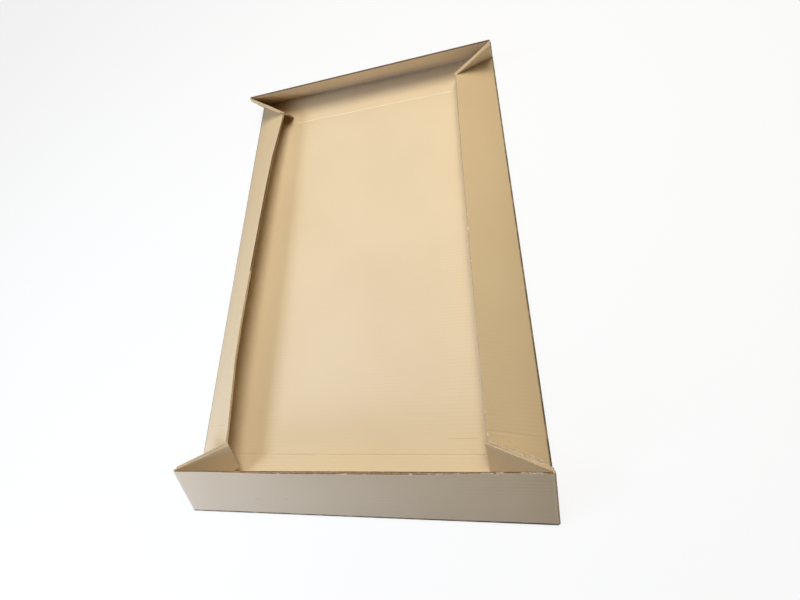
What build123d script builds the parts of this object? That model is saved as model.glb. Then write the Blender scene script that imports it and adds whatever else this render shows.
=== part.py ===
"""Folding tray of a pallet box: one sheet of corrugated board, creased, folded and glued at its corners.

X runs along the width, Y along the length, Z up. The origin is the centre of the base's underside.
The walls stand half erected: each leans in over the base, and the four glued corners hold them there.
"""
import os
from math import acos, cos, degrees, radians, sin

from build123d import *

# Sheet
board = 4.0
base_width = 727.0
base_length = 1200.0
wall_height = 120.0

# Fold: how far the end walls lean in from upright, in degrees
end_lean = 36.8

# Glued corner tabs, hinged on the end walls, inside the long walls' end gussets
tab_length = 122.0
rear_left_tab_length = 130.0
tab_base_gap = 1.0

# Score lines pressed across the base's upper face, measured from the end creases
front_score_inset = 108.0
rear_score_inset = 115.0
score_width = 3.0
score_depth = 0.8

# The corners tie the lean of the long walls to that of the end walls: the gusset keeps its right angle
end_tilt = radians(end_lean)
long_tilt = acos((1 - sin(end_tilt)) / cos(end_tilt))

# Directions at the front left corner: up each wall, out of each wall, and along the glued tab
up_end = Vector(0, sin(end_tilt), cos(end_tilt))
up_long = Vector(sin(long_tilt), 0, cos(long_tilt))
out_end = Vector(0, -cos(end_tilt), sin(end_tilt))
out_long = Vector(-cos(long_tilt), 0, sin(long_tilt))
along_long = Vector(0, 1, 0)
along_end = Vector(1, 0, 0)
down = Vector(0, 0, -1)
along_tab = (up_long + along_long - up_end).normalized()
out_corner = up_end.cross(along_tab)

# The creases of the base and the hinge of the tab meet at this point of the base's upper face
corner = Vector(-base_width / 2, -base_length / 2, board)

# The gusset lies outside the tab, so its diagonal crease starts in from the corner by the board it clears,
# and the long walls are lower by what that adds to the gusset: its top comes level with the end wall's rim
crease_inset = board / along_long.dot(out_corner)
crease_foot = corner + along_long * crease_inset
gusset_rise = crease_inset * along_long.dot(up_end)
gusset_foot = crease_inset * along_long.dot(along_tab)
long_height = wall_height - gusset_rise


def panel(plane: Plane, outline: list, thickness: float) -> Part:
    """Flat panel of board from its outline in a plane."""
    return extrude(plane * make_face(Polyline(outline, close=True)), thickness)


def fold(first: Vector, second: Vector, normal_from: Vector, normal_to: Vector) -> Part:
    """Rounded outside of a crease, from one panel's outward normal round to the next one's."""
    axis = normal_from.cross(normal_to).normalized()
    forward = axis.dot(second - first) > 0
    section = Plane(first if forward else second, x_dir=normal_from, z_dir=axis)
    arc = CenterArc((0, 0), board, 0, normal_from.get_angle(normal_to))
    wedge = make_face(Curve() + [Line((0, 0), arc @ 0), arc, Line(arc @ 1, (0, 0))])
    return extrude(section * wedge, (second - first).length)


def mitre() -> Plane:
    """Plane that halves the angle at the gusset's diagonal crease, facing the gusset."""
    diagonal = (up_long + along_long).normalized()
    facing = diagonal.cross(out_long + out_corner).normalized()
    toward_gusset = up_end - diagonal * diagonal.dot(up_end)
    return Plane(crease_foot, z_dir=facing if facing.dot(toward_gusset) > 0 else facing * -1)


def base_panel() -> Part:
    """Base with a score line across its upper face near each end."""
    base = Box(base_width, base_length, board, align=(Align.CENTER, Align.CENTER, Align.MIN))
    groove = make_face(Polyline((-score_width / 2, 0), (score_width / 2, 0), (0, -score_depth), close=True))
    for line in (front_score_inset - base_length / 2, base_length / 2 - rear_score_inset):
        place = Plane((-base_width / 2, line, board), x_dir=along_long, z_dir=along_end)
        base -= extrude(place * groove, base_width)
    return base


def front_wall() -> Part:
    """Front end wall between its two tab hinges, with the crease at its foot."""
    half = base_width / 2
    plane = Plane((0, -base_length / 2, board), x_dir=along_end, z_dir=out_end)
    outline = [(-half, 0), (half, 0), (half, wall_height), (-half, wall_height)]
    crease = fold(corner, corner + along_end * base_width, down, out_end)
    return panel(plane, outline, board) + crease


def left_wall() -> Part:
    """Left long wall up to its two diagonal creases, with the crease at its foot."""
    half = base_length / 2 - crease_inset
    rim = half - long_height
    plane = Plane((-base_width / 2, 0, board), x_dir=along_long, z_dir=out_long * -1)
    wall = panel(plane, [(-half, 0), (half, 0), (rim, long_height), (-rim, long_height)], -board)
    front_cut = mitre()
    wall = split(wall, front_cut, keep=Keep.BOTTOM)
    wall = mirror(split(mirror(wall, about=Plane.XZ), front_cut, keep=Keep.BOTTOM), about=Plane.XZ)
    crease_start = corner + along_long * board
    return wall + fold(crease_start, crease_start + along_long * (base_length - 2 * board), down, out_long)


def glued_corner(tab_reach: float) -> Part:
    """Front left corner: the long wall's folded gusset outside, the end wall's tab glued inside it."""
    glued_face = Plane(corner + out_corner * board, x_dir=along_tab, z_dir=out_corner * -1)
    crease = [(gusset_foot, gusset_rise), (gusset_foot + long_height, wall_height)]
    gusset = panel(glued_face, [*crease, (gusset_foot, wall_height)], -board)
    gusset = split(gusset, mitre(), keep=Keep.TOP)
    lift = tab_base_gap - out_corner.Z * board
    foot = [(across, (lift - across * along_tab.Z) / up_end.Z) for across in (0, tab_reach)]
    tab = panel(glued_face, [*foot, (tab_reach, wall_height), (0, wall_height)], board)
    hinge = fold(corner, corner + up_end * wall_height, out_end, out_corner)
    return gusset + tab + hinge


def glued_corners() -> list:
    """The four corners at their places; the rear left tab is the longest."""
    front_left = glued_corner(tab_length)
    front_right = mirror(front_left, about=Plane.YZ)
    rear_left = mirror(glued_corner(rear_left_tab_length), about=Plane.XZ)
    return [front_left, front_right, mirror(front_right, about=Plane.XZ), rear_left]


def folded_tray() -> Part:
    """The whole sheet as one solid."""
    front = front_wall()
    left = left_wall()
    walls = [front, mirror(front, about=Plane.XZ), left, mirror(left, about=Plane.YZ)]
    return base_panel() + walls + glued_corners()


os.makedirs("parts", exist_ok=True)
tray = folded_tray()
export_step(tray, "parts/folded_tray.step")
print("long walls lean in by", round(degrees(long_tilt), 1), "degrees; solids:", len(tray.solids()))
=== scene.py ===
"""Looks of the folding pallet tray: one sheet of corrugated board, drawn flat and folded as by hand."""
import logging
import math
from dataclasses import dataclass
from enum import Enum
from typing import Callable, List, Optional, Tuple, Union

import bmesh
import bpy
from mathutils import Matrix, Vector


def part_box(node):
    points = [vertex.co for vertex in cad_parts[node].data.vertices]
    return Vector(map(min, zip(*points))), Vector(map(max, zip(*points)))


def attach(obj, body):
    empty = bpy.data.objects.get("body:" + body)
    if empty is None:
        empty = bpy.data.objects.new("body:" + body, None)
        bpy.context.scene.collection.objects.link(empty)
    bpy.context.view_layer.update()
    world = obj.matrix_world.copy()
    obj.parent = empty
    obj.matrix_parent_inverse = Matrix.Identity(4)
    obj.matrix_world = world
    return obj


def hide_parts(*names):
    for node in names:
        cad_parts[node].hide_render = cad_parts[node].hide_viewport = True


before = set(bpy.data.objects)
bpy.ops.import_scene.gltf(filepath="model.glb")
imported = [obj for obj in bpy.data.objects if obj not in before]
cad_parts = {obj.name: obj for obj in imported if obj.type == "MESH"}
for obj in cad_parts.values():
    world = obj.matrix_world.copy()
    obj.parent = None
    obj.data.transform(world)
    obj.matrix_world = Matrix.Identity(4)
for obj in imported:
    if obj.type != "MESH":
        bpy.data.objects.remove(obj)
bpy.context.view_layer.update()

TRAY_NODE = "folded_tray"
BODY = "root"
LOG = logging.getLogger("tray")

# Slacks of tests on places that lie on a line, in metres
HAIR = 1e-6
SLACK = 1e-5
SCORE_SLACK = 1e-4

# Values that several finishes and pieces share
FLUTE_PITCH = 0.0078
PAPER_SHINE = 0.06
WHITE = (1.0, 1.0, 1.0)

Number = Union[float, int]
Pair = Tuple[float, float]
Spot = Tuple[float, float, float]
Colour = Tuple[float, float, float]


class Liner(Enum):
    """Faces of the board, in the order of the sheet's material slots."""

    INSIDE = 0
    OUTSIDE = 1
    CUT = 2


class Rim(Enum):
    """Rims of the sheet where the outer liner is torn."""

    FRONT = "front"
    RIGHT = "right"


class Axis(Enum):
    """Axes that the sheet is turned about as it is folded."""

    ACROSS = "X"
    ALONG = "Y"
    UP = "Z"


@dataclass(frozen=True)
class Corner:
    """A corner of the tray: side -1 is left and 1 right, end -1 is front and 1 rear."""

    side: int
    end: int

    def place(self, across: float, along: float) -> Vector:
        """Place on the flat sheet, from its distances to the sheet's two middle lines."""
        return Vector((self.side * across, self.end * along, 0))


SIDES = (-1, 1)
CORNERS = tuple(Corner(side, end) for side in SIDES for end in SIDES)
REAR_LEFT = Corner(-1, 1)


def linear(red: int, green: int, blue: int) -> Colour:
    """Scene-linear colour from a display colour written 0 to 255, by the sRGB curve."""
    channels = [value / 255 for value in (red, green, blue)]
    return tuple(c / 12.92 if c <= 0.04045 else ((c + 0.055) / 1.055) ** 2.4 for c in channels)


def clamped(share: float) -> float:
    """A share held between zero and one."""
    return min(max(share, 0.0), 1.0)


@dataclass(frozen=True)
class TrayForm:
    """Sizes and directions of the folded tray, in metres and radians, at its front left corner.

    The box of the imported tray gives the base's width and length and the height of the end walls.
    """

    low: Vector
    high: Vector
    board: float = 0.004
    end_lean: float = math.radians(36.8)
    tab_length: float = 0.122
    rear_left_tab_length: float = 0.130
    tab_base_gap: float = 0.001
    front_score_inset: float = 0.108
    rear_score_inset: float = 0.115

    @property
    def half_width(self) -> float:
        """Half the base between the long creases."""
        return (self.high.x - self.low.x) / 2 - self.board

    @property
    def half_length(self) -> float:
        """Half the base between the end creases."""
        return (self.high.y - self.low.y) / 2 - self.board

    @property
    def end_height(self) -> float:
        """Height of the end walls along their inner face."""
        rise = self.high.z - self.board - self.board * math.sin(self.end_lean)
        return rise / math.cos(self.end_lean)

    @property
    def long_lean(self) -> float:
        """Lean of the long walls, tied to the end walls by the glued corners."""
        return math.acos((1 - math.sin(self.end_lean)) / math.cos(self.end_lean))

    @property
    def up_end(self) -> Vector:
        """Up the front wall."""
        return Vector((0, math.sin(self.end_lean), math.cos(self.end_lean)))

    @property
    def up_long(self) -> Vector:
        """Up the left wall."""
        return Vector((math.sin(self.long_lean), 0, math.cos(self.long_lean)))

    @property
    def out_end(self) -> Vector:
        """Out of the front wall."""
        return Vector((0, -math.cos(self.end_lean), math.sin(self.end_lean)))

    @property
    def out_long(self) -> Vector:
        """Out of the left wall."""
        return Vector((-math.cos(self.long_lean), 0, math.sin(self.long_lean)))

    @property
    def along_tab(self) -> Vector:
        """Along the front left tab, from its hinge to its free end."""
        return (self.up_long + Vector((0, 1, 0)) - self.up_end).normalized()

    @property
    def out_corner(self) -> Vector:
        """Out of the front left gusset."""
        return self.up_end.cross(self.along_tab)

    @property
    def tab_turn(self) -> float:
        """Turn of the board at a tab's hinge."""
        return self.out_end.angle(self.out_corner)

    @property
    def gusset_turn(self) -> float:
        """Turn of the board at a diagonal crease."""
        return self.out_long.angle(self.out_corner)

    @property
    def long_height(self) -> float:
        """Height of the long walls, so that the gussets' tops come level with the end walls' rims."""
        return self.end_height - self.board / self.out_corner.y * self.up_end.y

    @property
    def crease_start(self) -> float:
        """Where a diagonal crease starts from the corner, in the middle of the board's thickness.

        The gusset lies outside the tab, so its middle is one and a half boards out, where the
        middle of the wall that it is folded from is half a board out.
        """
        return self.board * (1.5 - self.out_long.dot(self.out_corner) / 2) / self.out_corner.y

    @property
    def gusset_shift(self) -> float:
        """How much higher the gusset's middle layer ends up than the wall's."""
        return self.crease_start * self.up_end.y + self.board / 2 * self.up_end.dot(self.out_long)


class Bench:
    """Edit-mode tools that act on one object by the place of its points."""

    def __init__(self, piece: bpy.types.Object) -> None:
        """Takes the object to work on, and leaves it alone selected."""
        self.piece = piece
        self.focus()

    def focus(self) -> None:
        """Makes the object the only one selected, in object mode."""
        if bpy.context.mode != "OBJECT":
            bpy.ops.object.mode_set(mode="OBJECT")
        bpy.ops.object.select_all(action="DESELECT")
        self.piece.select_set(True)
        bpy.context.view_layer.objects.active = self.piece

    def edit(self) -> None:
        """Enters edit mode."""
        bpy.ops.object.mode_set(mode="EDIT")

    def done(self) -> None:
        """Leaves edit mode."""
        bpy.ops.object.mode_set(mode="OBJECT")

    def cleared(self, mode: str) -> bmesh.types.BMesh:
        """The mesh in a select mode, with nothing selected.

        Args:
            mode: The select mode.

        Returns:
            The mesh.
        """
        bpy.ops.mesh.select_mode(type=mode)
        bpy.ops.mesh.select_all(action="DESELECT")
        return bmesh.from_edit_mesh(self.piece.data)

    def pick_points(self, wanted: Callable[[Vector], bool],
                    places: Optional[List[Vector]] = None) -> None:
        """Selects points by their place, and nothing else.

        Args:
            wanted: Says whether a point at a place is wanted.
            places: The places that count, where they aren't the points' own.
        """
        mesh = self.cleared("VERT")
        for point in mesh.verts:
            point.select_set(wanted(places[point.index] if places else point.co))
        mesh.select_flush(True)
        bmesh.update_edit_mesh(self.piece.data)

    def pick_faces(self, wanted: Callable[[Vector], bool], liner: Optional[Liner] = None) -> None:
        """Selects faces by the place of their middle, and nothing else.

        Args:
            wanted: Says whether a face with its middle at a place is wanted.
            liner: The only kind of face that counts, where not all do.
        """
        mesh = self.cleared("FACE")
        for face in mesh.faces:
            counts = liner is None or face.material_index == liner.value
            face.select_set(counts and wanted(face.calc_center_median()))
        mesh.select_flush_mode()
        bmesh.update_edit_mesh(self.piece.data)

    def cut(self, place: Vector, facing: Vector, clear: bool = False) -> None:
        """Cuts the selected faces along a plane, and may clear what its normal points to."""
        bpy.ops.mesh.bisect(plane_co=place, plane_no=facing, clear_outer=clear)

    def move(self, shift: Vector) -> None:
        """Moves the selection."""
        bpy.ops.transform.translate(value=shift)

    def turn(self, centre: Vector, axis: Axis, angle: float) -> None:
        """Turns the selection by the right-hand rule, which takes a negative angle with no window."""
        bpy.ops.transform.rotate(value=-angle, orient_axis=axis.value, orient_type="GLOBAL",
                                 center_override=centre)

    def apply(self, name: str, kind: str, **settings: object) -> None:
        """Adds a modifier and applies it.

        Args:
            name: Name of the modifier.
            kind: Type of the modifier.
            **settings: Values of the modifier.
        """
        modifier = self.piece.modifiers.new(name, kind)
        for key, value in settings.items():
            setattr(modifier, key, value)
        bpy.ops.object.modifier_apply(modifier=name)

    def smooth(self, degrees: float) -> None:
        """Shades the object smooth except at edges sharper than an angle."""
        bpy.ops.object.shade_smooth_by_angle(angle=math.radians(degrees))


class Shade:
    """A value of a material that Python's operators work on."""

    def __init__(self, graph: "NodeGraph", socket: bpy.types.NodeSocket) -> None:
        """Wraps an output socket of a graph."""
        self.graph = graph
        self.socket = socket

    def math(self, operation: str, *others: Union["Shade", Number]) -> "Shade":
        """Result of a Math node on this value and any others."""
        values = dict(enumerate((self,) + others))
        return self.graph.add("ShaderNodeMath", {"operation": operation}, values)

    def __add__(self, other: Union["Shade", Number]) -> "Shade":
        """Sum."""
        return self.math("ADD", other)

    __radd__ = __add__

    def __mul__(self, other: Union["Shade", Number]) -> "Shade":
        """Product."""
        return self.math("MULTIPLY", other)

    __rmul__ = __mul__

    def __sub__(self, other: Union["Shade", Number]) -> "Shade":
        """Difference."""
        return self.math("SUBTRACT", other)

    def __rsub__(self, other: Number) -> "Shade":
        """Difference from a number."""
        return self * -1 + other

    def __abs__(self) -> "Shade":
        """Size without sign."""
        return self.math("ABSOLUTE")

    def sine(self) -> "Shade":
        """Sine of an angle in radians."""
        return self.math("SINE")

    def larger(self, other: Union["Shade", Number]) -> "Shade":
        """The larger of two values."""
        return self.math("MAXIMUM", other)

    def step(self, start: float, end: float) -> "Shade":
        """Smooth step from zero where the value reaches a start to one where it reaches an end.

        Args:
            start: Where the step starts.
            end: Where it ends, above or below the start.

        Returns:
            The step, between zero and one.
        """
        least, most = (0.0, 1.0) if start < end else (1.0, 0.0)
        values = {"Value": self, "From Min": min(start, end), "From Max": max(start, end),
                  "To Min": least, "To Max": most}
        return self.graph.add("ShaderNodeMapRange", {"interpolation_type": "SMOOTHSTEP"}, values)

    def near(self, place: float, reach: float) -> "Shade":
        """One at a place, falling smoothly to zero a reach away from it."""
        return abs(self - place).step(reach, 0)


class NodeGraph:
    """The nodes of one material."""

    # Sockets of a Mix node that mixes colours: its names don't tell them apart
    MIX_WEIGHT, MIX_FIRST, MIX_SECOND, MIX_RESULT = 0, 6, 7, 2

    def __init__(self, name: str) -> None:
        """Makes a new material with only its shader and output."""
        self.material = bpy.data.materials.new(name)
        self.material.use_nodes = True
        self.tree = self.material.node_tree
        self.shader = self.tree.nodes["Principled BSDF"]
        self.output = self.tree.nodes["Material Output"]

    def add(self, kind: str, settings: dict, values: dict, result: Union[int, str] = 0) -> Shade:
        """Adds a node.

        Args:
            kind: The node's type.
            settings: Its settings, set first.
            values: Numbers, colours or links of its sockets, by index or name.
            result: Which output is wanted.

        Returns:
            That output.
        """
        node = self.tree.nodes.new(kind)
        for key, value in settings.items():
            setattr(node, key, value)
        for key, value in values.items():
            self.feed(node.inputs[key], value)
        return Shade(self, node.outputs[result])

    def feed(self, socket: bpy.types.NodeSocket, value: object) -> None:
        """Gives a socket a link or a constant.

        Args:
            socket: The input socket.
            value: A Shade to link, or a number, colour or vector.
        """
        if isinstance(value, Shade):
            self.tree.links.new(value.socket, socket)
        elif socket.type == "RGBA":
            socket.default_value = (*value, 1.0)
        else:
            socket.default_value = value

    def split(self, place: Shade) -> Tuple[Shade, Shade]:
        """X and Y of a vector."""
        outputs = self.add("ShaderNodeSeparateXYZ", {}, {0: place}).socket.node.outputs
        return Shade(self, outputs[0]), Shade(self, outputs[1])

    def blend(self, weight: Union[Shade, float], first: object, second: object) -> Shade:
        """Mixes two colours, by the weight of the second."""
        values = {self.MIX_WEIGHT: weight, self.MIX_FIRST: first, self.MIX_SECOND: second}
        return self.add("ShaderNodeMix", {"data_type": "RGBA"}, values, self.MIX_RESULT)

    def noise(self, place: Shade, scale: float, detail: float = 2.0) -> Shade:
        """Noise about one half, with its waves to the metre and its octaves."""
        values = {"Vector": place, "Scale": scale, "Detail": detail}
        return self.add("ShaderNodeTexNoise", {}, values)

    def bump(self, height: Shade, depth: float) -> Shade:
        """Normal of a small relief, where a height of one stands for a depth in metres."""
        values = {"Strength": 1.0, "Distance": depth, "Height": height}
        return self.add("ShaderNodeBump", {}, values)

    def dull_paper(self, colour: Shade, roughness: Shade, normal: Shade) -> bpy.types.Material:
        """Feeds the shader as paper that hardly shines.

        Args:
            colour: Its colour.
            roughness: Its roughness.
            normal: Its relief.

        Returns:
            The finished material.
        """
        values = {"Base Color": colour, "Roughness": roughness, "Normal": normal,
                  "Specular IOR Level": PAPER_SHINE}
        for name, value in values.items():
            self.feed(self.shader.inputs[name], value)
        return self.material

    def show_white(self, kind: str, rays: Tuple[str, ...], share: float) -> None:
        """Mixes plain white over the shader for the rays that look at it.

        Args:
            kind: Type of the node that gives the white.
            rays: The rays that see the white, as Light Path names them.
            share: How much of the white they see.
        """
        path = self.add("ShaderNodeLightPath", {}, {}, rays[0])
        seen = path
        for ray in rays[1:]:
            seen = seen.larger(Shade(self, path.socket.node.outputs[ray]))
        white = self.add(kind, {}, {"Color": WHITE, "Strength": 1.0})
        values = {0: seen * share, 1: Shade(self, self.shader.outputs[0]), 2: white}
        self.feed(self.output.inputs["Surface"], self.add("ShaderNodeMixShader", {}, values))


class SheetGraph(NodeGraph):
    """The nodes of a material that follows the flat sheet, in metres from the sheet's middle."""

    def __init__(self, name: str, size: Pair) -> None:
        """Makes a new material and finds the place on the flat sheet.

        Args:
            name: Name of the material.
            size: Width and length of the flat sheet.
        """
        super().__init__(name)
        layer = self.add("ShaderNodeUVMap", {"uv_map": "blank"}, {})
        middle = tuple(-side / 2 for side in size)
        values = {"Vector": layer, "Location": (*middle, 0.0), "Scale": (*size, 1.0)}
        self.flat = self.add("ShaderNodeMapping", {}, values)
        self.across, self.along = self.split(self.flat)


class SkyGraph(NodeGraph):
    """The nodes of the world."""

    def __init__(self, name: str) -> None:
        """Makes a new world with only its background and output."""
        self.world = bpy.data.worlds.new(name)
        self.world.use_nodes = True
        self.tree = self.world.node_tree
        self.shader = self.tree.nodes["Background"]
        self.output = self.tree.nodes["World Output"]


@dataclass(frozen=True)
class Mark:
    """A line or a patch on the flat sheet, in metres and radians: a scuffed or dirty mark, or the
    painted highlight or shade of a pressed line.
    """

    across: float
    along: float
    length: float
    width: float
    weight: float
    turn: float = 0.0

    def strength(self, graph: SheetGraph) -> Shade:
        """Weight of the mark over the sheet.

        Args:
            graph: The material's nodes.

        Returns:
            Its own weight along the middle two thirds, and zero past its ends and its width away.
        """
        values = {"Vector": graph.flat, "Location": (self.across, self.along, 0.0),
                  "Rotation": (0.0, 0.0, self.turn)}
        place = graph.add("ShaderNodeMapping", {"vector_type": "TEXTURE"}, values)
        along, across = graph.split(place)
        reach = abs(along).step(self.length / 2, self.length / 3)
        return reach * across.near(0.0, self.width) * self.weight


@dataclass(frozen=True)
class Mottle:
    """Soft patches where noise passes from a start to a full value, in waves to the metre."""

    scale: float
    detail: float
    start: float
    full: float
    weight: float
    least: float = 0.0

    def strength(self, graph: NodeGraph, place: Shade) -> Shade:
        """Weight of the patches at a place, from the least between them to the full weight above it."""
        noise = graph.noise(place, self.scale, self.detail)
        return noise.step(self.start, self.full) * self.weight + self.least


@dataclass(frozen=True)
class KraftFinish:
    """Kraft liner of corrugated board, with the washboard of the flutes under it."""

    name: str
    paper: Colour
    shade: Colour
    pale: Colour
    sheet_size: Pair
    creases: Pair
    pale_marks: Tuple[Mark, ...]
    dark_marks: Tuple[Mark, ...]
    ribbed: Tuple[Mark, ...]
    # Painted shade along the feet of the walls, where they meet the floor: its weight, how far past the
    # base's creases it lies and how far it reaches
    foot_shade: float = 0.0
    foot_drop: float = 0.005
    foot_reach: float = 0.004
    # How dark the painted shade at the feet and the dark marks are, as a share of the shade colour
    shade_and_soil_tone: float = 0.1
    crease_reach: float = 0.005
    crease_wear: float = 0.3
    pitch: float = FLUTE_PITCH
    wander: float = 1.2
    wander_scale: float = 7.0
    wave_painted_shade: float = 0.16
    fibre_stretch: float = 0.25
    grain_scale: float = 1100.0
    dent_scale: float = 11.0
    grain_detail: float = 3.0
    relief: float = 0.0004
    wave_height: float = 0.10
    grain_height: float = 0.12
    dent_height: float = 3.0
    roughness: float = 0.82
    roughness_spread: float = 0.1
    clouds: Mottle = Mottle(scale=4.0, detail=5.0, start=0.35, full=0.75, weight=0.18)
    fibres: Mottle = Mottle(scale=1400.0, detail=4.0, start=0.45, full=0.8, weight=0.22)
    ribs: Mottle = Mottle(scale=6.0, detail=2.0, start=0.4, full=0.75, weight=0.6, least=0.25)
    # Breaks the painted shade at the walls' feet into patches
    foot_shade_patches: Mottle = Mottle(scale=45.0, detail=2.0, start=0.3, full=0.55, weight=0.4, least=0.6)

    def material(self) -> bpy.types.Material:
        """Builds the material on the flat sheet's own coordinates.

        Returns:
            The finished material.
        """
        graph = SheetGraph(self.name, self.sheet_size)
        wave = self.washboard(graph)
        colour = self.colour(graph, wave)
        grain = graph.noise(graph.flat, self.grain_scale, self.grain_detail)
        dents = graph.noise(graph.flat, self.dent_scale, self.grain_detail)
        height = wave * self.wave_height + grain * self.grain_height + dents * self.dent_height
        roughness = grain * self.roughness_spread + (self.roughness - self.roughness_spread / 2)
        return graph.dull_paper(colour, roughness, graph.bump(height, self.relief))

    def washboard(self, graph: SheetGraph) -> Shade:
        """Wave of the flutes that shows through the liner, stronger in ribbed patches.

        Args:
            graph: The material's nodes.

        Returns:
            The wave, about zero.
        """
        wander = graph.noise(graph.flat, self.wander_scale) * self.wander
        wave = (graph.along * (2 * math.pi / self.pitch) + wander).sine()
        strength = self.ribs.strength(graph, graph.flat)
        for patch in self.ribbed:
            strength = strength + patch.strength(graph)
        return wave * strength

    def beside_creases(self, graph: SheetGraph, drop: float, reach: float) -> Shade:
        """Weight of a line that lies a drop past the creases of the base, with a reach to each side."""
        line = abs(graph.across).near(self.creases[0] + drop, reach)
        return line.larger(abs(graph.along).near(self.creases[1] + drop, reach))

    def colour(self, graph: SheetGraph, wave: Shade) -> Shade:
        """Paper colour with clouds, fibres, washboard and its painted shade, worn creases, marks that
        include painted highlights and shade, and painted shade at the walls' feet.

        Args:
            graph: The material's nodes.
            wave: The washboard's wave.

        Returns:
            The colour.
        """
        colour = graph.blend(self.clouds.strength(graph, graph.flat), self.paper, self.shade)
        values = {"Vector": graph.flat, "Scale": (1.0, self.fibre_stretch, 1.0)}
        stretched = graph.add("ShaderNodeMapping", {}, values)
        colour = graph.blend(self.fibres.strength(graph, stretched), colour, self.shade)
        # Darker stripes on the flutes' wave: painted shade of the ridges, beside their bump
        colour = graph.blend((wave * self.wave_painted_shade).larger(0.0), colour, self.shade)
        # Pale along the creases for worn paper, and along the pale marks, which are painted highlights
        # and a pale rim line
        wear_and_highlight = self.beside_creases(graph, 0.0, self.crease_reach) * self.crease_wear
        for mark in self.pale_marks:
            wear_and_highlight = wear_and_highlight.larger(mark.strength(graph))
        colour = graph.blend(wear_and_highlight, colour, self.pale)
        # Painted shade along the feet of the walls, broken into patches, then the dark marks, which
        # include painted shade
        foot = self.beside_creases(graph, self.foot_drop, self.foot_reach)
        shade_and_soil = foot * self.foot_shade_patches.strength(graph, graph.flat) * self.foot_shade
        for mark in self.dark_marks:
            shade_and_soil = shade_and_soil.larger(mark.strength(graph))
        return graph.blend(shade_and_soil, colour, tuple(part * self.shade_and_soil_tone for part in self.shade))


@dataclass(frozen=True)
class EdgeFinish:
    """Raw paper where the board is cut or torn."""

    name: str
    pale: Colour
    dark: Colour
    grain: float = 500.0
    grain_detail: float = 3.0
    specks_to_cloud: float = 12.0
    speck_start: float = 0.35
    speck_full: float = 0.7
    speck_weight: float = 0.6
    cloud_weight: float = 0.4
    relief: float = 0.0002
    roughness: float = 0.95
    roughness_spread: float = 0.05

    def material(self) -> bpy.types.Material:
        """Builds the material.

        Returns:
            The finished material.
        """
        graph = NodeGraph(self.name)
        place = graph.add("ShaderNodeTexCoord", {}, {}, "Object")
        speck = graph.noise(place, self.grain, self.grain_detail)
        cloud = graph.noise(place, self.grain / self.specks_to_cloud)
        weight = speck.step(self.speck_start, self.speck_full) * self.speck_weight
        weight = weight + cloud * self.cloud_weight
        roughness = speck * self.roughness_spread + (self.roughness - self.roughness_spread)
        return graph.dull_paper(graph.blend(weight, self.pale, self.dark), roughness,
                                graph.bump(speck, self.relief))


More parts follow.
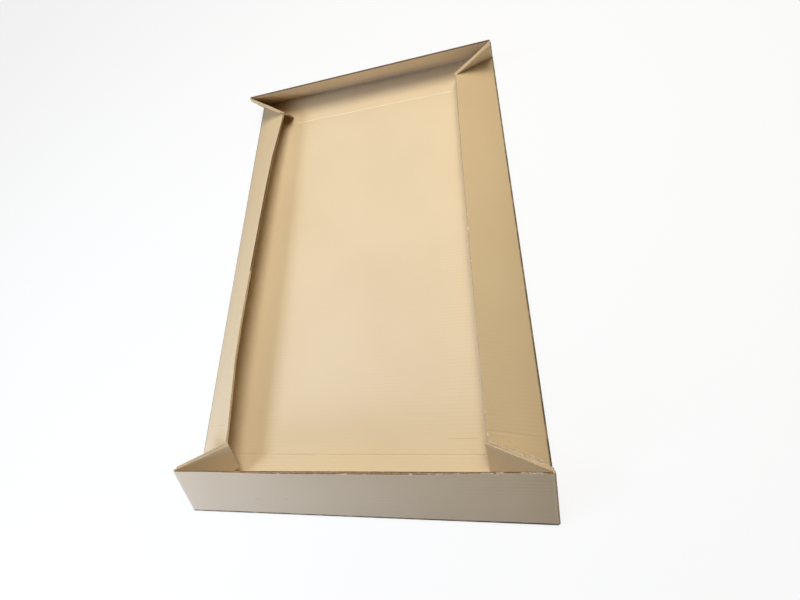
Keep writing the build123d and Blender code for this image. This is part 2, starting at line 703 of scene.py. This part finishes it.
@dataclass(frozen=True)
class Settle:
    """How the used tray stands off its true form, in metres and radians.

    The lean of each long wall changes at a rate to the metre, from its true lean at a level along
    the tray, and the corners have shifted a little. The shifts are those of the left front, right
    front, left rear and right rear corners.
    """

    form: TrayForm
    floor: Tuple[Pair, ...] = (
        (0.0004, 0.0007), (-0.0001, -0.0054), (-0.0056, 0.0), (0.0036, -0.0018))
    rim: Tuple[Pair, ...] = (
        (0.0023, -0.0023), (-0.0025, -0.0030), (0.0050, -0.0010), (-0.0035, 0.0062))
    left_bow: Spot = (-0.013, 0.0, 0.0225)
    right_bow: Spot = (-0.003, 0.0, 0.0)
    front_bow: Spot = (0.0, -0.003, 0.0)
    left_rate: float = math.radians(8.88)
    left_level: float = 0.17
    right_rate: float = math.radians(-2.14)
    right_level: float = 0.369
    bow_reach: float = 0.72
    bow_power: int = 4
    cage_points: int = 9

    def twist(self, bench: Bench, side: int, shares: List[float]) -> None:
        """Changes the lean of one long wall along its length.

        Args:
            bench: The bench of a folded piece.
            side: -1 for left, 1 for right.
            shares: How much each of its points takes part.
        """
        left, right = (self.left_rate, self.left_level), (self.right_rate, self.right_level)
        rate, level = left if side < 0 else right
        place = (side * self.form.half_width, level, self.form.board)
        bpy.ops.object.empty_add(location=place)
        axis = bpy.context.object
        bench.focus()
        group = bench.piece.vertex_groups.new(name="twisted")
        for index, share in enumerate(shares):
            group.add([index], share, "REPLACE")
        reach = [point.co.y for point in bench.piece.data.vertices]
        angle = -side * rate * (max(reach) - min(reach))
        bench.apply("twist", "SIMPLE_DEFORM", deform_method="TWIST", deform_axis="Y", origin=axis,
                    angle=angle, vertex_group=group.name)
        bench.piece.vertex_groups.clear()
        bpy.data.objects.remove(axis)

    def swell(self, share: float) -> float:
        """How much of a bow is left at a share of a rim: all of it midway, none near the ends."""
        return max(0.0, 1 - ((2 * share - 1) / self.bow_reach) ** self.bow_power)

    def drift(self, across: float, along: float, raised: bool) -> Vector:
        """How far a place has shifted, with the corners and with the bows of the rims.

        Args:
            across: Place across the tray, from zero at its left to one at its right.
            along: Place along the tray, from zero at its front to one at its rear.
            raised: Whether the place is at the top of the tray.

        Returns:
            The shift.
        """
        corners = [Vector(corner) for corner in (self.rim if raised else self.floor)]
        front = corners[0].lerp(corners[1], across)
        rear = corners[2].lerp(corners[3], across)
        shift = front.lerp(rear, along).to_3d()
        if raised:
            shift += Vector(self.left_bow) * (1 - across) * self.swell(along)
            shift += Vector(self.right_bow) * across * self.swell(along)
            shift += Vector(self.front_bow) * (1 - along) * self.swell(across)
        return shift

    def shift(self, bench: Bench) -> None:
        """Shifts a finished piece with the corners and rims, by a lattice round what is on the base.

        Args:
            bench: The piece's bench.
        """
        low, high, board = self.form.low, self.form.high, self.form.board
        size = Vector((high.x - low.x, high.y - low.y, high.z - board))
        bpy.ops.object.add(type="LATTICE", location=(0, 0, board + size.z / 2))
        cage = bpy.context.object
        cage.scale = size
        for axis, kind in zip("uvw", ("KEY_CATMULL_ROM", "KEY_CATMULL_ROM", "KEY_LINEAR")):
            setattr(cage.data, "interpolation_type_" + axis, kind)
        cage.data.points_u = self.cage_points
        cage.data.points_v = self.cage_points
        for point in cage.data.points:
            drift = self.drift(point.co.x + 0.5, point.co.y + 0.5, point.co.z > 0)
            point.co_deform = point.co + Vector(part / whole for part, whole in zip(drift, size))
        bench.focus()
        bench.apply("settle", "LATTICE", object=cage)
        bpy.data.objects.remove(cage)


@dataclass
class BoardSheet:
    """The whole sheet: drawn flat with its creases, cut out, folded and given its thickness."""

    form: TrayForm
    settle: Settle
    bend_steps: int = 6
    liner: float = 0.0005
    channel_depth: float = 0.0035
    channel_floor: float = 0.014
    crushed_floor: float = 0.068
    rim_slack: float = 0.004
    fill: float = 0.985
    score_half: float = 0.0015
    score_depth: float = 0.0008
    left_tab_lift: float = 0.008
    rows: int = 16
    columns: int = 10
    sharp_degrees: float = 28.0

    def __post_init__(self) -> None:
        """Works out the flat sheet's lines from the folded form."""
        form = self.form
        radius = form.board / 2
        self.long_turn = math.pi / 2 + form.long_lean
        self.end_turn = math.pi / 2 + form.end_lean
        self.wall_foot_x = form.half_width + radius * self.long_turn
        self.rim_x = self.wall_foot_x + form.long_height
        self.wall_foot_y = form.half_length + radius * self.end_turn
        self.rim_y = self.wall_foot_y + form.end_height
        self.tab_foot_x = form.half_width + radius * form.tab_turn
        self.gusset_end = form.half_length - form.crease_start
        self.scores = (form.front_score_inset - form.half_length,
                       form.half_length - form.rear_score_inset)
        self.long_lines = self.strips(form.half_width, self.wall_foot_x)
        self.end_lines = self.strips(form.half_length, self.wall_foot_y)
        self.tab_lines = self.strips(form.half_width, self.tab_foot_x)

    @property
    def size(self) -> Pair:
        """Width and length of the flat sheet that everything is cut from."""
        return 2 * max(self.rim_x, self.tab_end(REAR_LEFT)), 2 * self.rim_y

    def tab_end(self, corner: Corner) -> float:
        """Distance of a tab's free end from the middle of the flat sheet."""
        form = self.form
        length = form.rear_left_tab_length if corner == REAR_LEFT else form.tab_length
        return self.tab_foot_x + length

    def strips(self, start: float, end: float) -> List[float]:
        """Lines that divide a bend into equal strips, its two ends included."""
        steps = range(self.bend_steps + 1)
        return [start + (end - start) * step / self.bend_steps for step in steps]

    def build(self) -> bpy.types.Object:
        """Makes the folded sheet.

        Returns:
            The finished object.
        """
        bpy.ops.object.select_all(action="DESELECT")
        bpy.ops.mesh.primitive_plane_add(size=1.0)
        piece = bpy.context.object
        piece.name = "board_sheet"
        piece.data.uv_layers[0].name = "blank"
        bench = Bench(piece)
        bench.edit()
        bpy.ops.transform.resize(value=(*self.size, 1.0))
        self.draw_lines(bench)
        bench.pick_faces(lambda middle: not self.is_kept(middle))
        bpy.ops.mesh.delete(type="FACE")
        for corner in CORNERS:
            self.taper_tab(bench, corner)
            self.draw_diagonal(bench, corner)
            self.trim_gusset(bench, corner)
        bench.done()
        self.fold(bench)
        self.thicken(bench)
        self.press_scores(bench)
        self.open_edges(bench)
        bench.smooth(self.sharp_degrees)
        self.settle.shift(bench)
        return piece

    def draw_lines(self, bench: Bench) -> None:
        """Draws every straight crease and guide line right across the flat sheet.

        Args:
            bench: The sheet's bench, in edit mode.
        """
        form = self.form
        across = [form.half_width * (2 * step / self.columns - 1) for step in range(1, self.columns)]
        along = [form.half_length * (2 * step / self.rows - 1) for step in range(1, self.rows)]
        long_lines = self.long_lines + self.tab_lines + [(self.wall_foot_x + self.rim_x) / 2, self.rim_x]
        end_lines = self.end_lines + [(self.wall_foot_y + self.rim_y) / 2, self.gusset_end]
        for sign in SIDES:
            across += [sign * line for line in long_lines]
            along += [sign * line for line in end_lines]
        across += [corner.side * self.tab_end(corner) for corner in CORNERS]
        along += [score + shift * self.score_half for score in self.scores for shift in (-1, 0, 1)]
        for lines, facing in ((across, Vector((1, 0, 0))), (along, Vector((0, 1, 0)))):
            for line in sorted(set(lines)):
                bpy.ops.mesh.select_all(action="SELECT")
                bench.cut(facing * line, facing)

    def is_kept(self, middle: Vector) -> bool:
        """Says whether a face of the ruled sheet lies within the tray's outline.

        Args:
            middle: The face's middle.

        Returns:
            Whether it does.
        """
        x, y = abs(middle.x), abs(middle.y)
        if y < self.gusset_end:
            return x < self.rim_x
        if y < self.wall_foot_y:
            return x < self.form.half_width
        return x < self.tab_end(Corner(1 if middle.x > 0 else -1, 1 if middle.y > 0 else -1))

    def taper_tab(self, bench: Bench, corner: Corner) -> None:
        """Cuts one tab's foot on the slant that keeps it off the base.

        Args:
            bench: The sheet's bench, in edit mode.
            corner: The tab's corner.
        """
        form = self.form
        lift = (form.tab_base_gap - form.out_corner.z * form.board) / form.up_end.z
        lift += self.left_tab_lift if corner.side < 0 else 0.0
        start = corner.place(self.tab_foot_x, self.wall_foot_y + lift)
        below = corner.place(-form.along_tab.z / form.up_end.z, -1)
        bench.pick_faces(lambda middle: self.on_tab(middle, corner))
        bench.cut(start, below)
        bench.pick_faces(lambda middle: self.on_tab(middle, corner) and (middle - start).dot(below) > 0)
        bpy.ops.mesh.delete(type="FACE")

    def draw_diagonal(self, bench: Bench, corner: Corner) -> None:
        """Draws one corner's diagonal crease across the end of its long wall."""
        bench.pick_faces(lambda middle: middle.x * corner.side > self.wall_foot_x
                         and abs(middle.y) < self.gusset_end)
        bench.cut(corner.place(self.wall_foot_x, self.gusset_end), corner.place(1, 1))

    def trim_gusset(self, bench: Bench, corner: Corner) -> None:
        """Trims one gusset's top so that it comes level with the end wall's rim.

        Args:
            bench: The sheet's bench, in edit mode.
            corner: The gusset's corner.
        """
        form = self.form
        drop = form.gusset_shift - (form.end_height - form.long_height)
        top = corner.place(self.rim_x, self.gusset_end - form.long_height)
        bench.pick_faces(lambda middle: self.on_gusset(middle, corner))
        bench.cut(top, corner.place(form.long_height, drop), clear=True)

    def on_tab(self, place: Vector, corner: Corner) -> bool:
        """Says whether a place on the flat sheet belongs to one tab, past its hinge."""
        return place.x * corner.side > self.tab_foot_x and place.y * corner.end > self.wall_foot_y

    def on_gusset(self, place: Vector, corner: Corner) -> bool:
        """Says whether a place on the flat sheet lies on one gusset, past its diagonal crease."""
        climb, inset = place.x * corner.side - self.wall_foot_x, self.gusset_end - place.y * corner.end
        return climb > 0 and -SLACK < inset < climb + SLACK

    def lean_share(self, place: Vector, side: int) -> float:
        """How much a place on the flat sheet takes part when a long wall leans.

        Args:
            place: The place.
            side: -1 for left, 1 for right.

        Returns:
            One on the wall, falling to zero at the hinges of its gussets and tabs and at its crease.
        """
        half_width, across = self.form.half_width, place.x * side
        climb, inset = across - self.wall_foot_x, self.gusset_end - abs(place.y)
        if inset <= -SLACK:
            return clamped((across - self.tab_foot_x) / max(abs(place.y) - self.wall_foot_y, SLACK))
        if climb < SLACK:
            return clamped((across - half_width) / (self.wall_foot_x - half_width))
        return clamped(inset / climb)

    def fold(self, bench: Bench) -> None:
        """Folds a piece drawn on the flat sheet, the outermost creases first, and lets it settle.

        Args:
            bench: The piece's bench.
        """
        form = self.form
        flat = [point.co.copy() for point in bench.piece.data.vertices]
        bench.edit()
        for corner in CORNERS:
            self.fold_gusset(bench, flat, corner)
            self.fold_bend(bench, flat, Axis.ALONG, corner.side, self.tab_lines, form.tab_turn,
                           lambda place: place.y * corner.end > self.wall_foot_y - HAIR)
        for side in SIDES:
            self.fold_bend(bench, flat, Axis.ALONG, side, self.long_lines, self.long_turn,
                           lambda place: abs(place.y) < self.gusset_end + SLACK)
        for end in SIDES:
            self.fold_bend(bench, flat, Axis.ACROSS, end, self.end_lines, self.end_turn,
                           lambda place: True)
        bpy.ops.mesh.select_all(action="SELECT")
        bench.move(Vector((0, 0, form.board / 2)))
        bench.done()
        for side in SIDES:
            self.settle.twist(bench, side, [self.lean_share(place, side) for place in flat])

    def fold_bend(self, bench: Bench, flat: List[Vector], axis: Axis, sign: int, lines: List[float],
                  turn: float, belongs: Callable[[Vector], bool]) -> None:
        """Folds a panel up along one crease, strip by strip from its outer line to its inner one.

        Args:
            bench: The piece's bench, in edit mode.
            flat: Places of the points on the flat sheet.
            axis: Axis of the crease.
            sign: Side of the sheet that is folded.
            lines: Lines of the bend.
            turn: Whole turn of the bend.
            belongs: Says whether a place past the crease is on the panel.
        """
        far, facing, sense = (0, Vector((1, 0, 0)), -sign)
        if axis is Axis.ACROSS:
            far, facing, sense = (1, Vector((0, 1, 0)), sign)
        step = turn / self.bend_steps
        for count, line in enumerate(reversed(lines)):
            share = step / 2 if count in (0, self.bend_steps) else step
            edge = line + HAIR
            bench.pick_points(lambda place: place[far] * sign > edge and belongs(place), flat)
            bench.turn(facing * (sign * line), axis, share * sense)

    def fold_gusset(self, bench: Bench, flat: List[Vector], corner: Corner) -> None:
        """Folds one gusset back at its diagonal crease.

        Args:
            bench: The piece's bench, in edit mode.
            flat: Places of the points on the flat sheet.
            corner: The gusset's corner.
        """
        start = corner.place(self.wall_foot_x, self.gusset_end)
        bench.pick_points(lambda place: self.on_gusset(place, corner), flat)
        diagonal = -math.pi / 4 * corner.side * corner.end
        bench.turn(start, Axis.UP, diagonal)
        bench.turn(start, Axis.ALONG, corner.side * self.form.gusset_turn)
        bench.turn(start, Axis.UP, -diagonal)

    def thicken(self, bench: Bench) -> None:
        """Gives the folded sheet the board's thickness.

        Args:
            bench: The sheet's bench.
        """
        bench.focus()
        for _ in Liner:
            bench.piece.data.materials.append(None)
        bench.apply("board", "SOLIDIFY", thickness=self.form.board * self.fill, offset=0.0,
                    use_even_offset=True, use_quality_normals=True,
                    material_offset=Liner.OUTSIDE.value, material_offset_rim=Liner.CUT.value)

    def press_scores(self, bench: Bench) -> None:
        """Presses the score lines into the base's upper face.

        Args:
            bench: The sheet's bench.
        """
        half_width, board = self.form.half_width, self.form.board
        bench.edit()
        for score in self.scores:
            bench.pick_points(lambda place: abs(place.y - score) < SCORE_SLACK
                              and abs(place.x) < half_width and board / 2 < place.z < board)
            bench.move(Vector((0, 0, -self.score_depth)))
        bench.done()

    def is_open(self, place: Vector) -> bool:
        """Says whether a folded cut edge shows the flutes: the end rims and the left rim do.

        Args:
            place: A place on the cut edge.

        Returns:
            Whether it does.
        """
        form = self.form
        end_rim = form.half_length - form.end_height * math.sin(form.end_lean) - self.rim_slack
        if place.z > self.crushed_floor:
            return abs(place.x) < form.half_width and abs(place.y) > end_rim
        return place.z > self.channel_floor and place.x < 0

    def open_edges(self, bench: Bench) -> None:
        """Opens the end rims and the left rim between the liners; other cut edges are crushed shut.

        Args:
            bench: The sheet's bench.
        """
        bench.edit()
        bench.pick_faces(self.is_open, Liner.CUT)
        bpy.ops.mesh.inset(thickness=self.liner, depth=-self.channel_depth, use_even_offset=True)
        bench.done()


@dataclass
class PaperBits:
    """Thin bits of paper that are drawn on the flat sheet and folded with it."""

    sheet: BoardSheet
    name: str = "paper_bits"
    paper: float = 0.0003
    sharp_degrees: float = 40.0

    def draw(self) -> List[bpy.types.Object]:
        """Draws the bits flat, each as an object."""
        raise NotImplementedError

    def shape(self, bench: Bench) -> None:
        """Shapes the joined bits while they lie flat, in edit mode."""
        raise NotImplementedError

    def build(self) -> bpy.types.Object:
        """Makes the bits as one piece.

        Returns:
            The finished object.
        """
        pieces = self.draw()
        bench = Bench(pieces[0])
        for piece in pieces:
            piece.select_set(True)
        bpy.ops.object.join()
        bench.piece.name = self.name
        bench.edit()
        self.shape(bench)
        bench.done()
        self.sheet.fold(bench)
        bench.focus()
        bench.apply("paper", "SOLIDIFY", thickness=self.paper, offset=0.0)
        bench.smooth(self.sharp_degrees)
        self.sheet.settle.shift(bench)
        return bench.piece

    def rule(self, middle: Vector, size: Vector, columns: int, rows: int) -> bpy.types.Object:
        """Rules one flat bit.

        Args:
            middle: Its middle on the flat sheet.
            size: Its size across and along the sheet.
            columns: Cells across it.
            rows: Cells along it.

        Returns:
            The flat bit.
        """
        bpy.ops.mesh.primitive_grid_add(x_subdivisions=columns, y_subdivisions=rows, size=1.0)
        bench = Bench(bpy.context.object)
        bench.edit()
        bpy.ops.mesh.select_all(action="SELECT")
        bpy.ops.transform.resize(value=size)
        bench.move(middle)
        bench.done()
        return bench.piece


@dataclass
class FluteStrips(PaperBits):
    """The wavy layer of the board where cut edges show it."""

    name: str = "flute_strips"
    pitch: float = FLUTE_PITCH
    swing: float = 0.0013
    steps: int = 8
    depth: float = 0.0055
    setback: float = 0.0003
    least_rows: int = 3

    def draw(self) -> List[bpy.types.Object]:
        """Draws a strip along the front, rear and left rims, fine enough for its wave.

        Returns:
            The flat strips.
        """
        sheet, form = self.sheet, self.sheet.form
        width, inset = self.depth - self.setback, (self.depth + self.setback) / 2
        end_size = Vector((2 * form.half_width, width, 1.0))
        left_size = Vector((width, 2 * (sheet.gusset_end - form.long_height), 1.0))
        places = ((Vector((0, inset - sheet.rim_y, 0)), end_size),
                  (Vector((0, sheet.rim_y - inset, 0)), end_size),
                  (Vector((inset - sheet.rim_x, 0, 0)), left_size))
        strips = []
        for middle, size in places:
            rows = max(self.least_rows, round(size.y / self.pitch * self.steps))
            strips.append(self.rule(middle, size, 1, rows))
        return strips

    def shape(self, bench: Bench) -> None:
        """Lifts the points row by row to the flutes' wave.

        Args:
            bench: The strips' bench, in edit mode.
        """
        step = self.pitch / self.steps
        for phase in range(self.steps):
            lift = self.swing * math.sin(2 * math.pi * phase / self.steps)
            bench.pick_points(lambda place: round(place.y / step) % self.steps == phase)
            bench.move(Vector((0, 0, lift)))


@dataclass(frozen=True)
class Tear:
    """A torn spot of the outer liner at a rim of the flat sheet, in metres."""

    rim: Rim
    place: float
    length: float
    reach: float


@dataclass
class TornPaper(PaperBits):
    """Torn and crushed bits of the outer liner at the rims."""

    name: str = "torn_paper"
    tears: Tuple[Tear, ...] = ()
    cell: float = 0.0014
    least_cells: int = 2
    ragged: float = 0.0010
    seed: int = 7

    def draw(self) -> List[bpy.types.Object]:
        """Draws every torn bit."""
        return [self.flake(tear) for tear in self.tears]

    def shape(self, bench: Bench) -> None:
        """Makes the bits ragged."""
        bpy.ops.mesh.select_all(action="SELECT")
        bpy.ops.transform.vertex_random(offset=self.ragged, seed=self.seed)

    def flake(self, tear: Tear) -> bpy.types.Object:
        """Rules one torn bit on the outer liner, half of it past the rim.

        Args:
            tear: The torn spot.

        Returns:
            The flat bit.
        """
        sheet = self.sheet
        middle = Vector((tear.place, -sheet.rim_y, -sheet.form.board / 2))
        size = Vector((tear.length, 2 * tear.reach, 1.0))
        if tear.rim is Rim.RIGHT:
            middle.xy = sheet.rim_x, tear.place
            size.xy = 2 * tear.reach, tear.length
        columns, rows = (max(self.least_cells, round(side / self.cell)) for side in size.xy)
        return self.rule(middle, size, columns, rows)


# Painted highlight on the lit edge behind the rear score, faint line and ribs at the right of the base
INSIDE_PALE = (Mark(across=-0.01, along=0.487, length=0.78, width=0.0022, weight=0.75),)
INSIDE_DARK = (Mark(across=0.21, along=-0.4625, length=0.07, width=0.0016, weight=0.16),)
INSIDE_RIBS = (Mark(across=0.24, along=-0.3, length=0.16, width=0.3, weight=0.35),)

# Painted highlight on the lit edge of the line pressed into the right wall, and a pale line along the
# front rim
OUTSIDE_PALE = (
    Mark(across=0.448, along=-0.4625, length=0.08, width=0.0024, weight=0.26, turn=0.052),
    Mark(across=0.0, along=-0.7245, length=0.9, width=0.002, weight=0.5),
)

# The pressed line, drawn only as painted shade on its dark side, then two smudges on the front wall and
# two on the left wall
OUTSIDE_DARK = (
    Mark(across=0.432, along=-0.4585, length=0.14, width=0.0020, weight=0.1, turn=0.052),
    Mark(across=-0.196, along=-0.649, length=0.012, width=0.003, weight=0.1),
    Mark(across=-0.135, along=-0.651, length=0.01, width=0.003, weight=0.12),
    Mark(across=-0.444, along=-0.4365, length=0.045, width=0.0014, weight=0.13, turn=0.086),
    Mark(across=-0.406, along=-0.362, length=0.016, width=0.0016, weight=0.1, turn=0.3),
)

# Ribs at the right of the front wall
OUTSIDE_RIBS = (Mark(across=0.3, along=-0.69, length=0.24, width=0.045, weight=1.2),)

# Torn spots: place along the rim, length and reach past the rim
FRONT_TEARS = (
    (-0.130, 0.006, 0.0015), (-0.054, 0.004, 0.0014), (-0.002, 0.022, 0.0014),
    (0.042, 0.004, 0.0014), (0.127, 0.006, 0.0022), (0.161, 0.006, 0.0015),
    (0.177, 0.012, 0.0022), (0.211, 0.006, 0.0025), (0.258, 0.022, 0.0014),
    (0.279, 0.012, 0.0025), (0.330, 0.034, 0.0020),
)
RIGHT_TEARS = (
    (0.011, 0.006, 0.0018), (-0.026, 0.008, 0.0018), (-0.110, 0.005, 0.0014),
    (-0.463, 0.008, 0.0022), (0.478, 0.010, 0.0020), (-0.502, 0.010, 0.0018),
    (-0.524, 0.014, 0.0030), (-0.549, 0.022, 0.0036), (-0.571, 0.018, 0.0030),
)
TEARS = tuple(Tear(rim, *spot) for rim, spots in ((Rim.FRONT, FRONT_TEARS), (Rim.RIGHT, RIGHT_TEARS))
              for spot in spots)


@dataclass(frozen=True)
class Lamp:
    """A soft square lamp that faces a target, in metres and watts."""

    name: str
    place: Spot
    target: Spot
    size: float
    power: float
    colour: Colour

    def hang(self) -> None:
        """Adds the lamp."""
        bpy.ops.object.light_add(type="AREA", location=self.place)
        lamp = bpy.context.object
        lamp.name = self.name
        lamp.data.size = self.size
        lamp.data.energy = self.power
        lamp.data.color = self.colour
        aim = Vector(self.target) - Vector(self.place)
        lamp.rotation_euler = aim.to_track_quat("-Z", "Y").to_euler()


# Cool window light from the left and low at the front, warm light from above and behind
LAMPS = (
    Lamp("window", place=(-1.35, -0.3, 1.35), target=(0.0, 0.0, 0.0), size=0.5, power=14.0,
         colour=(0.7, 0.82, 1.0)),
    Lamp("low_window", place=(-0.8, -1.2, 0.5), target=(0.0, -0.3, 0.0), size=0.5, power=10.5,
         colour=(0.46, 0.59, 1.0)),
    Lamp("ceiling", place=(0.3, 0.42, 2.1), target=(0.2, 0.15, 0.0), size=1.2, power=42.0,
         colour=(1.0, 0.94, 0.84)),
    Lamp("far_window", place=(1.4, 2.6, 2.6), target=(0.0, 0.0, 0.0), size=1.8, power=16.0,
         colour=(1.0, 0.96, 0.9)),
)


@dataclass
class Studio:
    """Camera, floor, lamps and sky."""

    focal_px: float = 450.0
    principal_px: Pair = (372.87, 273.69)
    image_px: Tuple[int, int] = (800, 600)
    sensor: float = 36.0
    clip_start: float = 0.01
    place: Spot = (0.3007, -0.5833, 0.9434)
    azimuth: float = math.radians(-29.218)
    elevation: float = math.radians(-58.53)
    roll: float = math.radians(-31.938)
    floor_size: float = 12.0
    floor_grey: float = 0.8
    floor_roughness: float = 0.9
    floor_white: float = 0.86
    sky_light: float = 0.02

    def build(self) -> None:
        """Sets up the whole studio."""
        self.camera()
        self.floor()
        for lamp in LAMPS:
            lamp.hang()
        self.sky()
        bpy.context.scene.view_settings.view_transform = "Standard"

    def camera(self) -> None:
        """Adds the camera at the photograph's place."""
        bpy.ops.object.camera_add()
        camera = bpy.context.object
        width, height = self.image_px
        camera.data.sensor_width = self.sensor
        camera.data.lens = self.focal_px / width * self.sensor
        camera.data.shift_x = (width / 2 - self.principal_px[0]) / width
        camera.data.shift_y = (self.principal_px[1] - height / 2) / width
        camera.data.clip_start = self.clip_start
        level = math.cos(self.elevation)
        ahead = Vector((math.sin(self.azimuth) * level, math.cos(self.azimuth) * level,
                        math.sin(self.elevation)))
        right = ahead.cross(Vector((0, 0, 1))).normalized()
        up = right.cross(ahead)
        tilted_right = right * math.cos(self.roll) + up * math.sin(self.roll)
        tilted_up = up * math.cos(self.roll) - right * math.sin(self.roll)
        turn = Matrix((tilted_right, tilted_up, -ahead)).transposed().to_4x4()
        camera.matrix_world = Matrix.Translation(self.place) @ turn
        bpy.context.scene.camera = camera

    def floor(self) -> None:
        """Adds a floor that looks nearly white and keeps the tray's shadow."""
        bpy.ops.mesh.primitive_plane_add(size=self.floor_size)
        floor = bpy.context.object
        floor.name = "floor"
        graph = NodeGraph("floor_white")
        graph.feed(graph.shader.inputs["Base Color"], (self.floor_grey,) * 3)
        graph.feed(graph.shader.inputs["Roughness"], self.floor_roughness)
        rays = ("Is Camera Ray", "Is Glossy Ray", "Is Transmission Ray")
        graph.show_white("ShaderNodeEmission", rays, self.floor_white)
        floor.data.materials.append(graph.material)

    def sky(self) -> None:
        """Adds a dim sky that looks white to the camera."""
        graph = SkyGraph("sky")
        bpy.context.scene.world = graph.world
        graph.feed(graph.shader.inputs["Color"], WHITE)
        graph.feed(graph.shader.inputs["Strength"], self.sky_light)
        graph.show_white("ShaderNodeBackground", ("Is Camera Ray",), 1.0)


def dress(piece: bpy.types.Object, materials: List[bpy.types.Material]) -> None:
    """Gives a piece its materials and says what it stands for.

    Args:
        piece: The piece.
        materials: Its materials, in slot order.
    """
    slots = piece.data.materials
    for index, material in enumerate(materials):
        if index < len(slots):
            slots[index] = material
        else:
            slots.append(material)
    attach(piece, BODY)
    mesh = piece.data
    LOG.info("%s: %d points, %d faces", piece.name, len(mesh.vertices), len(mesh.polygons))


def main() -> None:
    """Builds the tray, its finishes and the studio."""
    logging.basicConfig(level=logging.INFO, format="%(name)s %(message)s")
    form = TrayForm(*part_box(TRAY_NODE))
    sheet = BoardSheet(form, Settle(form))
    creases = (form.half_width, form.half_length)
    inside = KraftFinish("kraft_inside", paper=linear(222, 203, 169), shade=linear(200, 178, 142),
                         pale=linear(236, 224, 200), sheet_size=sheet.size, creases=creases,
                         pale_marks=INSIDE_PALE, dark_marks=INSIDE_DARK, ribbed=INSIDE_RIBS)
    outside = KraftFinish("kraft_outside", paper=linear(216, 192, 152), shade=linear(197, 172, 132),
                          pale=linear(232, 216, 188), sheet_size=sheet.size, creases=creases,
                          pale_marks=OUTSIDE_PALE, dark_marks=OUTSIDE_DARK, ribbed=OUTSIDE_RIBS,
                          foot_shade=0.92)
    cut = EdgeFinish("cut_edge", pale=linear(216, 194, 158), dark=linear(164, 138, 104))
    medium = EdgeFinish("flute_paper", pale=linear(184, 156, 118), dark=linear(120, 94, 64))
    torn = EdgeFinish("torn_fibre", pale=linear(240, 222, 186), dark=linear(210, 186, 148))
    board = sheet.build()
    dress(board, [inside.material(), outside.material(), cut.material()])
    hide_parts(TRAY_NODE)
    flutes = FluteStrips(sheet).build()
    dress(flutes, [medium.material()])
    bits = TornPaper(sheet, tears=TEARS).build()
    dress(bits, [torn.material()])
    Studio().build()


if __name__ == "__main__":
    main()
